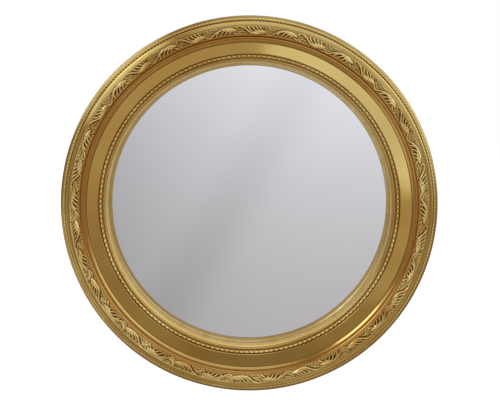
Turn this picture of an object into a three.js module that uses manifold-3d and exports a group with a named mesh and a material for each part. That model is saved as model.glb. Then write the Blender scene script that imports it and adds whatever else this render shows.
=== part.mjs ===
// A round convex wall mirror in a gilt moulded frame, with running leaf ornament and two strings of beads.
// Millimetres. The wall is the plane y = 0, the mirror faces -Y and +Z is up.
// A "depth" is a distance out from the wall, so it lies at y = -depth. A "bearing" is an angle
// clockwise from the top, as seen from the front.
import * as THREE from "three";
import { mergeVertices } from "three/addons/utils/BufferGeometryUtils.js";
import Module from "manifold-3d";

const wasm = await Module();
wasm.setup();

// Driving dimensions
const FRAME_RADIUS = 300;
const SIGHT_RADIUS = 225.4; // the free edge of the frame's lip, round the visible glass
const REBATE_RADIUS = 232.5;
const BACK_RADIUS = 295.5; // the outer side tapers in towards the wall
const BACK_DEPTH = 6; // the frame's back stands this far off the wall, on the bumpers
const CROWN_DEPTH = 48.3; // the flat crown that carries the leaf ornament
const FRAME_SEGMENTS = 8;
const FIRST_JOINT = 33.75; // bearing of the first glued joint, clear of every screw
const GAP = 0.3; // the glue line or play between pieces that touch
const TURNS = 64; // facets round the turned pieces

const GLASS_THICKNESS = 3;
const GLASS_RISE = 25; // how far the middle of the glass stands out beyond its rim
const GLASS_RADIUS = 231.3;
const PACKING_INNER = 219; // the felt strip behind the rim of the glass
const BOARD_THICKNESS = 3;

const LEAF_RADIUS = 274; // the middle of the leaf band
const LEAF_HALF_WIDTH = 7.2;
const LEAF_RELIEF = 4.4;
const LEAF_MOTIFS = 18;
const LEAF_STRIPS = 6; // the pressed lengths that the ornament comes in
const LEAF_BEARING = 6.9; // where the first motif starts
const FINGERS = 5; // on each half leaf, two half leaves to a motif

const PEARLS = 187;
const BEADS = 329;

const BUTTONS = 8;
const BUTTON_PIVOT_RADIUS = 242;
const BUTTON_REACH = 24; // pivot to the far end
const PLATE_THICKNESS = 1.2; // turn buttons and hanger straps
const SCREW_RADIUS = 1.5;
const SCREW_LENGTH = 12;
const HOLE_RADIUS = 1.9;

const HANGER_HEIGHT = 105; // above the middle: a third of the way down
const HANGER_PIVOT = 232; // distance from the middle to the ring's pin, sideways
const STRAP_LENGTH = 36;
const STRAP_WIDTH = 13;
const RING_WIRE = 1.3;
const RING_REACH = 15;
const RING_HALF_WIDTH = 10.3;
const EYE_RADIUS = 2.6;
const EYE_BORE = 1.75;

const BUMPER_RADIUS = 8.5;
const BUMPER_PLACE_RADIUS = 278;
const BUMPER_BEARINGS = [157.5, 202.5];

const plateDepth = BACK_DEPTH - GAP; // where hardware sits on the frame's back
const plateTop = plateDepth - PLATE_THICKNESS;
const eyeDepth = plateDepth - EYE_RADIUS;

// Materials
const finish = (color, roughness, metalness) => () =>
  new THREE.MeshStandardMaterial({ color, roughness, metalness });
const burnishedGold = finish(0xc49a3c, 0.25, 0.9);
const reliefGold = finish(0xd2ac4f, 0.35, 0.85);
const silveredGlass = finish(0xc8cacd, 0.03, 1);
const greyFelt = finish(0x6b5f50, 0.95, 0);
const hardboard = finish(0x8a6440, 0.8, 0);
const platedSteel = finish(0xb4b2ab, 0.35, 0.95);
const brassPlate = finish(0xb9975a, 0.35, 0.95);
const rubber = finish(0x25231f, 0.8, 0);

// Solids
const root = new THREE.Group();

function add(name, geometry, material) {
  const mesh = new THREE.Mesh(geometry, material());
  mesh.name = name;
  root.add(mesh);
  return mesh;
}

function toSolid(geometry) {
  const bare = geometry.clone();
  bare.deleteAttribute("normal");
  bare.deleteAttribute("uv");
  const merged = mergeVertices(bare, 1e-4);
  return new wasm.Manifold(
    new wasm.Mesh({
      numProp: 3,
      vertProperties: new Float32Array(merged.attributes.position.array),
      triVerts: new Uint32Array(merged.index.array),
    }),
  );
}

function toGeometry(solid) {
  const mesh = solid.getMesh();
  const geometry = new THREE.BufferGeometry();
  geometry.setAttribute("position", new THREE.BufferAttribute(mesh.vertProperties, 3));
  geometry.setIndex(new THREE.BufferAttribute(mesh.triVerts, 1));
  geometry.computeVertexNormals();
  return geometry;
}

// A solid of revolution about the mirror's axis, from [radius, depth] points that run clockwise
// on paper with the radius across and the depth upwards. A section off the axis is closed here.
function turned(points, segments = TURNS) {
  const outline = points[0][0] > 0 ? [...points, points[0]] : points;
  return new THREE.LatheGeometry(
    outline.map(([radius, depth]) => new THREE.Vector2(radius, -depth)),
    segments,
  );
}

// The point at a bearing, a distance from the axis and a depth.
function place(bearing, radius, depth) {
  const angle = THREE.MathUtils.degToRad(bearing);
  return new THREE.Vector3(radius * Math.sin(angle), -depth, radius * Math.cos(angle));
}

// A solid skin over a run of sections that have equal numbers of points. It is closed on itself
// in a loop, or by flat ends. Sections of a run round the axis follow each other clockwise, and
// their points run counter-clockwise on paper with the radius across and the depth upwards.
function skinned(sections, loop) {
  const positions = sections.flat().flatMap((point) => point.toArray());
  const size = sections[0].length;
  const count = sections.length;
  const faces = [];
  for (let s = 0; s < (loop ? count : count - 1); s++)
    for (let i = 0; i < size; i++) {
      const a = s * size + i;
      const b = s * size + ((i + 1) % size);
      const c = ((s + 1) % count) * size + i;
      const d = ((s + 1) % count) * size + ((i + 1) % size);
      faces.push(a, b, c, b, d, c);
    }
  if (!loop) {
    const last = (count - 1) * size;
    const flat = sections[0].map((point) => new THREE.Vector2(Math.hypot(point.x, point.z), -point.y));
    for (const [a, b, c] of THREE.ShapeUtils.triangulateShape(flat, []))
      faces.push(a, c, b, last + a, last + b, last + c);
  }
  const geometry = new THREE.BufferGeometry();
  geometry.setAttribute("position", new THREE.Float32BufferAttribute(positions, 3));
  geometry.setIndex(faces);
  geometry.computeVertexNormals();
  return geometry;
}

// A straight-sided piece cut from sheet, lying on the frame's back, from an outline in x and z.
function sheetPiece(shape, thickness, curveSteps) {
  const geometry = new THREE.ExtrudeGeometry(shape, {
    depth: thickness,
    bevelEnabled: false,
    curveSegments: curveSteps,
  });
  return geometry.rotateX(Math.PI / 2).translate(0, thickness, 0);
}

// Frame: a ring glued up from sawn segments and turned as one

// The section, from the rebate round the sight lip, the mouldings and the outer side.
function frameSection() {
  const lipBack = 20;
  const lipThickness = 3;
  const astragal = { radius: 259.5, depth: 44.6, size: 2.5 };
  const section = [
    [REBATE_RADIUS, BACK_DEPTH],
    [REBATE_RADIUS, lipBack],
    [SIGHT_RADIUS, lipBack],
    [SIGHT_RADIUS, lipBack + lipThickness],
    [231.8, 35], // top of the sloping sight lip
    [232.7, 34], // bed of the pearls
    [238.8, 35.4],
    [239.6, 38.2], // fillet, and the flat polished band that rises from it
    [256.6, 44.2],
  ];
  for (const turn of [150, 90, 30]) {
    const angle = THREE.MathUtils.degToRad(turn);
    section.push([
      astragal.radius + astragal.size * Math.cos(angle),
      astragal.depth + astragal.size * Math.sin(angle),
    ]);
  }
  section.push(
    [262.2, 45.2], // foot of the cove below the leaves
    [266.2, CROWN_DEPTH],
    [282, CROWN_DEPTH],
    [283, 46.4], // shoulder
    [287.6, 45.2],
    [290.8, 40.4],
    [291.4, 37.6], // bed of the small beads
    [298, 35.4],
    [FRAME_RADIUS, 32],
    [BACK_RADIUS, BACK_DEPTH],
  );
  return section;
}

// The places of every screw in the frame's back.
function screwPlaces() {
  const buttons = buttonBearings().map((bearing) => place(bearing, BUTTON_PIVOT_RADIUS, 0));
  const bumpers = BUMPER_BEARINGS.map((bearing) => place(bearing, BUMPER_PLACE_RADIUS, 0));
  const straps = [-1, 1].flatMap((side) =>
    strapScrewOffsets().map(
      (offset) => new THREE.Vector3(side * (HANGER_PIVOT + offset), 0, HANGER_HEIGHT),
    ),
  );
  return [...buttons, ...bumpers, ...straps];
}

function makeFrame() {
  const pilotDepth = 13;
  const span = 360 / FRAME_SEGMENTS;
  const facets = TURNS / FRAME_SEGMENTS;
  const halfJoint = THREE.MathUtils.radToDeg(GAP / 2 / SIGHT_RADIUS);
  const section = frameSection().reverse();
  for (let i = 0; i < FRAME_SEGMENTS; i++) {
    const start = FIRST_JOINT + i * span;
    const sections = Array.from({ length: facets + 1 }, (_, step) => {
      const even = start + (step * span) / facets;
      const bearing = THREE.MathUtils.clamp(even, start + halfJoint, start + span - halfJoint);
      return section.map(([radius, depth]) => place(bearing, radius, depth));
    });
    let segment = toSolid(skinned(sections, false));
    for (const spot of screwPlaces()) {
      const bearing = THREE.MathUtils.radToDeg(Math.atan2(spot.x, spot.z));
      if (THREE.MathUtils.euclideanModulo(bearing - start, 360) > span) continue;
      const drill = new THREE.CylinderGeometry(HOLE_RADIUS, HOLE_RADIUS, pilotDepth * 2, 8);
      segment = segment.subtract(toSolid(drill.translate(spot.x, -BACK_DEPTH, spot.z)));
    }
    add("frame_segment_" + (i + 1), toGeometry(segment), burnishedGold);
  }
}

// Leaf ornament: pressed lengths glued round the crown. A stem waves from side to side,
// and each half wave is a half leaf whose fingers fan out across the band and lean back.

// One section of the ribbon of leaves: `wave` counts half leaves, `ridge` is true on a
// finger and false in the notch between two.
function leafSection(wave, ridge) {
  const side = Math.floor(wave) % 2 === 0 ? 1 : -1;
  const swell = Math.sin(Math.PI * (wave % 1));
  const stem = 3.4 * swell;
  const back = Math.min(stem + 2 + 1.6 * swell, LEAF_HALF_WIDTH);
  const reach = ridge ? stem + 2 + (LEAF_HALF_WIDTH - 2) * Math.sqrt(swell) : 1.8 + 3.4 * swell;
  const height = LEAF_RELIEF * (0.45 + 0.55 * swell);
  const across = [
    { offset: back, height: 0, lean: 0 },
    { offset: stem, height: ridge ? height : height * 0.82, lean: 0 },
    { offset: stem - reach * 0.62, height: height * (ridge ? 0.78 : 0.3), lean: 0.5 },
    { offset: stem - reach, height: 0, lean: 1 },
  ];
  const leanAngle = 0.9 * swell;
  const halfLeaf = 180 / LEAF_MOTIFS;
  const points = across.map(({ offset, height: rise, lean }) =>
    place(
      LEAF_BEARING + 1 + wave * halfLeaf - lean * leanAngle,
      LEAF_RADIUS + side * offset,
      CROWN_DEPTH + GAP + rise,
    ),
  );
  return side > 0 ? points : points.reverse();
}

function makeLeaves() {
  const halfLeaves = (2 * LEAF_MOTIFS) / LEAF_STRIPS;
  const endGap = 0.004; // of a half leaf
  for (let strip = 0; strip < LEAF_STRIPS; strip++) {
    const sections = [];
    for (let step = 0; step <= halfLeaves * FINGERS * 2; step++) {
      const share = THREE.MathUtils.clamp(step / (FINGERS * 2), endGap, halfLeaves - endGap);
      sections.push(leafSection(strip * halfLeaves + share, step % 2 === 1));
    }
    add("leaf_strip_" + (strip + 1), skinned(sections, false), reliefGold);
  }
}

// Strings of beads, each one pressed piece

function makePearls() {
  const radius = 235.8;
  const bedDepth = 34.75 + GAP;
  const sections = [];
  for (let step = 0; step < PEARLS * 2; step++) {
    const pearl = step % 2 === 0;
    const half = pearl ? 2.5 : 1.2;
    const top = pearl ? 3.4 : 1.6;
    const slope = 0.24; // the bed's own slope
    const at = (offset, rise) =>
      place((step * 180) / PEARLS, radius + offset, bedDepth + slope * offset + rise);
    sections.push([at(half, 0), at(half * 0.5, top), at(-half * 0.5, top), at(-half, 0)]);
  }
  add("pearl_string", skinned(sections, true), reliefGold);
}

// The fine beads at the outer edge: a ridge whose top rises to a point at each bead.
function makeBeads() {
  const radius = 294.8;
  const half = 2.6;
  const bedDepth = 36.5 + GAP;
  const slope = -0.333;
  const positions = [];
  const faces = [];
  for (let bead = 0; bead < BEADS; bead++) {
    const bearing = (bead * 360) / BEADS;
    const middle = bearing + 180 / BEADS;
    positions.push(
      ...place(bearing, radius - half, bedDepth - slope * half).toArray(),
      ...place(bearing, radius + half, bedDepth + slope * half).toArray(),
      ...place(bearing, radius, bedDepth + 1).toArray(),
      ...place(middle, radius, bedDepth + 2.6).toArray(),
    );
    const [inner, outer, neck, apex] = [0, 1, 2, 3].map((i) => bead * 4 + i);
    const [innerNext, outerNext, neckNext] = [0, 1, 2].map((i) => ((bead + 1) % BEADS) * 4 + i);
    faces.push(inner, outer, outerNext, inner, outerNext, innerNext);
    faces.push(inner, innerNext, apex, inner, apex, neck, innerNext, neckNext, apex);
    faces.push(outer, apex, outerNext, outer, neck, apex, outerNext, apex, neckNext);
  }
  const geometry = new THREE.BufferGeometry();
  geometry.setAttribute("position", new THREE.Float32BufferAttribute(positions, 3));
  geometry.setIndex(faces);
  geometry.computeVertexNormals();
  add("bead_string", geometry, reliefGold);
}

// Glass, packing and backing board

const glassRimDepth = 18.7; // front edge of the rim, just clear of the lip
const glassSphere = (GLASS_RADIUS ** 2 + GLASS_RISE ** 2) / (2 * GLASS_RISE);

// The depth of the glass at a distance from its middle, `inset` behind the front surface.
function glassDepth(radius, inset) {
  const centre = glassRimDepth + GLASS_RISE - glassSphere;
  return centre + Math.sqrt((glassSphere - inset) ** 2 - radius ** 2);
}

function makeGlass() {
  const radii = [0, 0.4 * GLASS_RADIUS, 0.75 * GLASS_RADIUS, PACKING_INNER, GLASS_RADIUS];
  const front = radii.map((radius) => [radius, glassDepth(radius, 0)]);
  const back = radii.map((radius) => [radius, glassDepth(radius, GLASS_THICKNESS)]);
  add("convex_glass", turned([...front, ...back.reverse()], TURNS / 2), silveredGlass);
}

function makeBacking() {
  const boardBack = BACK_DEPTH + GAP;
  const boardFront = boardBack + BOARD_THICKNESS;
  const rest = (radius) => glassDepth(radius, GLASS_THICKNESS) - GAP;
  const packing = [
    [PACKING_INNER, rest(PACKING_INNER)],
    [GLASS_RADIUS, rest(GLASS_RADIUS)],
    [GLASS_RADIUS, boardFront + GAP],
    [PACKING_INNER, boardFront + GAP],
  ];
  add("rim_packing", turned(packing, TURNS / 2), greyFelt);
  const board = [
    [0, boardFront],
    [GLASS_RADIUS, boardFront],
    [GLASS_RADIUS, boardBack],
    [0, boardBack],
  ];
  add("backing_board", turned(board, TURNS / 2), hardboard);
}

// Turn buttons: flat steel keepers that swing over the board's edge

function buttonBearings() {
  return Array.from({ length: BUTTONS }, (_, i) => (i * 360) / BUTTONS);
}

function addScrew(name, x, z, seatDepth) {
  const headRadius = 3.4;
  const screw = [
    [0, SCREW_LENGTH],
    [SCREW_RADIUS, 0],
    [headRadius, 0],
    [headRadius * 0.75, -2],
    [0, -2],
  ];
  const mesh = add(name, turned(screw, 8), platedSteel);
  mesh.position.set(x, GAP - seatDepth, z);
}

function makeButtons() {
  const halfWidth = 5;
  const outline = new THREE.Shape();
  outline.absarc(0, 0, halfWidth, 0, Math.PI, false);
  outline.absarc(0, -BUTTON_REACH + halfWidth, halfWidth, Math.PI, 2 * Math.PI, false);
  const hole = new THREE.Path();
  hole.absarc(0, 0, HOLE_RADIUS, 0, 2 * Math.PI, true);
  outline.holes.push(hole);
  buttonBearings().forEach((bearing, i) => {
    const pivot = place(bearing, BUTTON_PIVOT_RADIUS, plateDepth);
    const button = add("turn_button_" + (i + 1), sheetPiece(outline, PLATE_THICKNESS, 3), platedSteel);
    button.position.copy(pivot);
    button.rotation.y = THREE.MathUtils.degToRad(bearing);
    addScrew("button_screw_" + (i + 1), pivot.x, pivot.z, plateTop);
  });
}

// Hangers: a strap with a rolled eye, screwed to the back, and a D ring that swings in it

function strapScrewOffsets() {
  return [9, 28];
}

function strapGeometry() {
  const eye = new THREE.CylinderGeometry(EYE_RADIUS, EYE_RADIUS, STRAP_WIDTH, 14);
  const bore = new THREE.CylinderGeometry(EYE_BORE, EYE_BORE, STRAP_WIDTH * 2, 12);
  for (const part of [eye, bore]) part.rotateX(Math.PI / 2).translate(0, -eyeDepth, 0);
  const half = STRAP_WIDTH / 2;
  const outline = new THREE.Shape();
  outline.moveTo(1.2, half);
  outline.lineTo(1.2, -half);
  outline.absarc(STRAP_LENGTH - half, 0, half, -Math.PI / 2, Math.PI / 2, false);
  for (const offset of strapScrewOffsets()) {
    const hole = new THREE.Path();
    hole.absarc(offset, 0, HOLE_RADIUS, 0, 2 * Math.PI, true);
    outline.holes.push(hole);
  }
  const plate = sheetPiece(outline, PLATE_THICKNESS, 4).translate(0, -plateDepth, 0);
  return toGeometry(toSolid(plate).add(toSolid(eye)).subtract(toSolid(bore)));
}

// The D ring as a closed loop of round wire: a straight pin, two corners and a bow.
function ringGeometry() {
  const corner = 3;
  const path = [];
  const pinSteps = [-0.7, 0, 0.7];
  for (const share of pinSteps) path.push([0, share * RING_HALF_WIDTH]);
  const bowSteps = 12;
  const bowRadius = RING_HALF_WIDTH;
  const straight = RING_REACH - bowRadius;
  path.push([corner * 0.3, RING_HALF_WIDTH - corner * 0.3]);
  for (let i = 0; i <= bowSteps; i++) {
    const angle = Math.PI / 2 - (Math.PI * i) / bowSteps;
    path.push([straight + bowRadius * Math.cos(angle), bowRadius * Math.sin(angle)]);
  }
  path.push([corner * 0.3, -RING_HALF_WIDTH + corner * 0.3]);
  const sides = 7;
  const sections = path.map(([x, z], i) => {
    const before = path[(i + path.length - 1) % path.length];
    const after = path[(i + 1) % path.length];
    const along = new THREE.Vector3(after[0] - before[0], 0, after[1] - before[1]).normalize();
    const outward = new THREE.Vector3(along.z, 0, -along.x);
    return Array.from({ length: sides }, (_, k) => {
      const turn = (2 * Math.PI * k) / sides;
      return new THREE.Vector3(x, -eyeDepth, z)
        .addScaledVector(outward, RING_WIRE * Math.cos(turn))
        .add(new THREE.Vector3(0, RING_WIRE * Math.sin(turn), 0));
    });
  });
  return skinned(sections, true);
}

function makeHangers() {
  for (const [side, sign] of [
    ["left", -1],
    ["right", 1],
  ]) {
    // The left strap is the right one turned half way round.
    const turn = sign > 0 ? 0 : Math.PI;
    const strap = add(side + "_hanger_strap", strapGeometry(), brassPlate);
    strap.position.set(sign * HANGER_PIVOT, 0, HANGER_HEIGHT);
    strap.rotation.y = turn;
    const ring = add(side + "_hanger_ring", ringGeometry(), brassPlate);
    ring.position.set(sign * HANGER_PIVOT, 0, HANGER_HEIGHT);
    ring.rotation.y = turn + Math.PI;
    strapScrewOffsets().forEach((offset, i) =>
      addScrew(
        side + "_hanger_screw_" + (i + 1),
        sign * (HANGER_PIVOT + offset),
        HANGER_HEIGHT,
        plateTop,
      ),
    );
  }
}

// Bumpers: two rubber feet that keep the lower edge off the wall

function makeBumpers() {
  const recessRadius = 4.4;
  const recess = 2.8;
  const bumper = [
    [HOLE_RADIUS, recess],
    [HOLE_RADIUS, plateDepth],
    [BUMPER_RADIUS, plateDepth],
    [BUMPER_RADIUS - 0.4, 0.9],
    [BUMPER_RADIUS - 1.3, 0],
    [recessRadius, 0],
    [recessRadius, recess],
  ];
  BUMPER_BEARINGS.forEach((bearing, i) => {
    const spot = place(bearing, BUMPER_PLACE_RADIUS, 0);
    const mesh = add("wall_bumper_" + (i + 1), turned(bumper, 16), rubber);
    mesh.position.copy(spot);
    addScrew("bumper_screw_" + (i + 1), spot.x, spot.z, recess);
  });
}

makeFrame();
makeLeaves();
makePearls();
makeBeads();
makeGlass();
makeBacking();
makeButtons();
makeHangers();
makeBumpers();

export default root;
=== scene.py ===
import math

import bmesh
import bpy
import numpy as np
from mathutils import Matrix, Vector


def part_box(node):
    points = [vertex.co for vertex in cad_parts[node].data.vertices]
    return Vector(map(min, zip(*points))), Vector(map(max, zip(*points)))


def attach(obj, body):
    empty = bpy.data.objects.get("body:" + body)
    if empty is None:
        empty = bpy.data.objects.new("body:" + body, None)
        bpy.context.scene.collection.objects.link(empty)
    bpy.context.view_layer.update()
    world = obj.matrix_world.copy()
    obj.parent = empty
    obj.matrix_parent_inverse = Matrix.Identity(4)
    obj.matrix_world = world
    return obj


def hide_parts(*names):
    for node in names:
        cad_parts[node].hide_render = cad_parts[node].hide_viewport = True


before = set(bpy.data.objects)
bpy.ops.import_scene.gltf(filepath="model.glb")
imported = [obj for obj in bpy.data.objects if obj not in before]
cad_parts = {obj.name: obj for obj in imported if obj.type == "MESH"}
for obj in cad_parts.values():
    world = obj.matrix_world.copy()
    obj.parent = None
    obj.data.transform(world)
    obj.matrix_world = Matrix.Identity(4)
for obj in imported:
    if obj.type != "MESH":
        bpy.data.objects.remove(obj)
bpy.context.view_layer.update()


# Frame: a ring of beech glued up from eight sawn segments and turned as one. The front and the
# outer side have gesso, red bole and burnished gold leaf, with toning and painted shade in the
# grooves; the outer side is made darker. The back is bare.

MM = 0.001
GOLD_LEAF = (0.83, 0.56, 0.18, 1)
WARM_LEAF = (0.79, 0.50, 0.145, 1)
# The dark brown of toning in the hollows, which also serves as painted shade there.
TONING_AND_SHADE = (0.12, 0.055, 0.013, 1)
RED_BOLE = (0.60, 0.29, 0.06, 1)
BEECH = (0.52, 0.33, 0.17, 1)
BEECH_DARK = (0.34, 0.19, 0.082, 1)
MATT_GOLD = (0.88, 0.64, 0.26, 1)
MATT_GOLD_WARM = (0.80, 0.53, 0.17, 1)
GLUE_LINE = (0.07, 0.035, 0.015, 1)
SEGMENTS = [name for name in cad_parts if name.startswith("frame_segment")]
FIRST_JOINT = 33.75  # bearing of the first glued joint, in degrees clockwise from the top
ROUND_STEPS = 480
BACK_DEPTH = 6.0
REBATE_RADIUS = 232.5
REBATE_DEPTH = 20.0
SIGHT_RADIUS = 226.2
INNER_FACE_TOP = 28.0  # up to here the lip's inner face is matt
ASTRAGAL = (256.9, 261.2)
COVE = (260.6, 267.5)
SIDE_RADIUS = 296.0
SIDE_TOP = 37.2
FULL_CREST = 0.42  # how far the sharpest crests stand out of the smoothed section
TURNING_WAVER = 0.1


def frame_corners():
    """The turned section as [distance from the axis, depth off the wall, rounding] in mm."""
    return [
        (REBATE_RADIUS, BACK_DEPTH, 0.2), (REBATE_RADIUS, REBATE_DEPTH, 0.4),
        (SIGHT_RADIUS, REBATE_DEPTH, 0.2), (SIGHT_RADIUS, 23.2, 0.6),
        (227.4, 30.4, 4.0), (229.3, 33.4, 0.8), (229.7, 32.8, 0.2), (230.1, 35.0, 0.9),
        (231.9, 35.4, 0.9), (232.8, 33.7, 0.4), (238.7, 35.0, 0.4), (239.1, 37.8, 0.7),
        (255.8, 44.0, 0.35), (256.7, 43.3, 0.3), (257.0, 44.5, 0.5), (260.3, 47.0, 0.9),
        (261.0, 46.2, 0.3), (261.2, 44.6, 0.3), (264.5, 45.2, 3.5), (266.3, 48.3, 0.4),
        (282.2, 48.3, 0.5), (282.5, 46.9, 0.4), (288.6, 45.1, 2.4), (291.0, 37.3, 0.3),
        (295.7, 35.9, 0.3), (296.2, 36.1, 0.2), (299.9, 34.0, 2.6), (299.9, 31.0, 0.8),
        (295.5, BACK_DEPTH, 0.5),
    ]


def rounded_outline(corners, step):
    """A closed outline through corners, each rounded to its radius, in steps of a length."""
    points = []
    count = len(corners)
    for i, (x, y, radius) in enumerate(corners):
        here = np.array([x, y])
        back = np.array(corners[i - 1][:2]) - here
        ahead = np.array(corners[(i + 1) % count][:2]) - here
        reach = min(np.linalg.norm(back), np.linalg.norm(ahead)) * 0.48
        back, ahead = back / np.linalg.norm(back), ahead / np.linalg.norm(ahead)
        half = math.acos(np.clip(back @ ahead, -1, 1)) / 2
        cut = min(radius / math.tan(half), reach)
        size = cut * math.tan(half)
        centre = here + (back + ahead) / np.linalg.norm(back + ahead) * size / math.sin(half)
        first, last = here + back * cut - centre, here + ahead * cut - centre
        turn = math.atan2(first[0] * last[1] - first[1] * last[0], first @ last)
        steps = max(3, math.ceil(abs(turn) * size / 0.7))
        for k in range(steps + 1):
            angle = turn * k / steps
            c, s = math.cos(angle), math.sin(angle)
            points.append(centre + first @ np.array([[c, s], [-s, c]]))
    outline = []
    for i, here in enumerate(points):
        ahead = points[(i + 1) % len(points)]
        length = np.linalg.norm(ahead - here)
        if length < 1e-4:
            continue
        parts = max(1, math.ceil(length / step(here)))
        outline += [here + (ahead - here) * k / parts for k in range(parts)]
    return np.array(outline)


def hollowness(outline, spread):
    """How far each point of a clockwise outline lies in a hollow, in mm; less than 0 on a crest."""
    ahead = np.roll(outline, -1, 0) - outline
    lengths = np.linalg.norm(ahead, axis=1)
    along = np.concatenate([[0], np.cumsum(lengths)])
    apart = np.abs(along[:-1, None] - along[None, :-1])
    apart = np.minimum(apart, along[-1] - apart)
    weights = np.exp(-((apart / spread) ** 2)) * (lengths + np.roll(lengths, 1))[None]
    smooth = weights @ outline / weights.sum(1)[:, None]
    tangent = np.roll(outline, -1, 0) - np.roll(outline, 1, 0)
    outward = np.stack([-tangent[:, 1], tangent[:, 0]], 1)
    outward /= np.linalg.norm(outward, axis=1)[:, None]
    return ((smooth - outline) * outward).sum(1)


def ring_of_rows(name, places):
    """A closed ring or tube from rows of points in mm, joined round both ways."""
    rows, columns = places.shape[:2]
    i, j = np.meshgrid(np.arange(rows), np.arange(columns), indexing="ij")
    after, beside = (i + 1) % rows, (j + 1) % columns
    quads = [i * columns + j, after * columns + j, after * columns + beside, i * columns + beside]
    mesh = bpy.data.meshes.new(name)
    mesh.from_pydata((places * MM).reshape(-1, 3).tolist(), [], np.stack(quads, 2).reshape(-1, 4).tolist())
    return mesh


def turned_mesh(name, outline, steps, waver=0.0):
    """A ring about the mirror's axis from a clockwise [distance, depth] outline in mm. A waver
    lets the front run out of true a little, as hand turning and gesso do."""
    bearing = np.arange(steps)[:, None] * 2 * math.pi / steps
    phase = outline[None, :, 0] * 0.13
    wave = waver * (0.6 * np.sin(7 * bearing + phase) + 0.4 * np.sin(19 * bearing + 1.7 * phase + 1))
    radius = outline[None, :, 0] + 0 * bearing
    depth = outline[None, :, 1] + wave * (outline[None, :, 1] > REBATE_DEPTH + 1)
    return ring_of_rows(name, np.stack([radius * np.sin(bearing), -depth, radius * np.cos(bearing)], 2))


def point_attribute(mesh, name, values):
    """Keeps one number for each point of a mesh, for its material to read."""
    mesh.attributes.new(name, "FLOAT", "POINT").data.foreach_set("value", np.asarray(values, np.float32))


def smooth_faces(mesh, crease=None):
    """Shades a mesh smooth, but for edges that turn by more than the crease angle in degrees."""
    mesh.polygons.foreach_set("use_smooth", [True] * len(mesh.polygons))
    if crease is None:
        return
    work = bmesh.new()
    work.from_mesh(mesh)
    for edge in work.edges:
        edge.smooth = edge.calc_face_angle(0) < math.radians(crease)
    work.to_mesh(mesh)
    work.free()


def piece(name, mesh, *materials):
    """Puts a finished mesh in the scene with its materials."""
    made = bpy.data.objects.new(name, mesh)
    bpy.context.scene.collection.objects.link(made)
    for material in materials:
        made.data.materials.append(material)
    return made


def feed(tree, node, inputs):
    """Gives inputs of a node, by name or number, a plain value or the socket that drives them."""
    for key, value in inputs.items():
        number = key.removeprefix("input")
        socket = node.inputs[int(number) if number.isdigit() else key.replace("_", " ")]
        if isinstance(value, bpy.types.NodeSocket):
            tree.links.new(value, socket)
        else:
            socket.default_value = value


def put(tree, kind, settings=None, **inputs):
    """Adds a node with its properties and its inputs."""
    made = tree.nodes.new(kind)
    for key, value in (settings or {}).items():
        setattr(made, key, value)
    feed(tree, made, inputs)
    return made


def calc(tree, operation, *values, clamp=False):
    """One step of arithmetic on numbers or sockets."""
    inputs = {f"input{i}": value for i, value in enumerate(values)}
    settings = {"operation": operation, "use_clamp": clamp}
    return put(tree, "ShaderNodeMath", settings, **inputs).outputs[0]


def blended(tree, share, first, second):
    """A colour between two, by a share from 0 to 1."""
    settings = {"data_type": "RGBA"}
    return put(tree, "ShaderNodeMix", settings, input0=share, input6=first, input7=second).outputs[2]


def between(tree, value, low, high):
    """0 below low, 1 above high, with a soft change between them."""
    settings = {"interpolation_type": "SMOOTHSTEP"}
    return put(tree, "ShaderNodeMapRange", settings, Value=value, From_Min=low, From_Max=high).outputs[0]


def noise(tree, where, scale, detail=3.0, roughness=0.5):
    """Soft random patches; the scale is patches to the metre, roughly."""
    made = put(tree, "ShaderNodeTexNoise", Vector=where, Scale=scale, Detail=detail,
               Roughness=roughness)
    return made.outputs["Fac"]


def streaks(tree, where, scale, detail, roughness=0.5, turn=(0, 0, 0)):
    """Random streaks: soft patches with a scale of their own on each axis."""
    size = put(tree, "ShaderNodeMapping", Vector=where, Rotation=turn, Scale=scale)
    return noise(tree, size.outputs[0], 1.0, detail, roughness)


def effect_group(name, inputs, outputs):
    """An empty shader group with its sockets; returns the tree and its in and out nodes."""
    group = bpy.data.node_groups.new(name, "ShaderNodeTree")
    for sockets, way in ((inputs, "INPUT"), (outputs, "OUTPUT")):
        for title, kind in sockets.items():
            group.interface.new_socket(title, in_out=way, socket_type="NodeSocket" + kind)
    return group, group.nodes.new("NodeGroupInput"), group.nodes.new("NodeGroupOutput")


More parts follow.
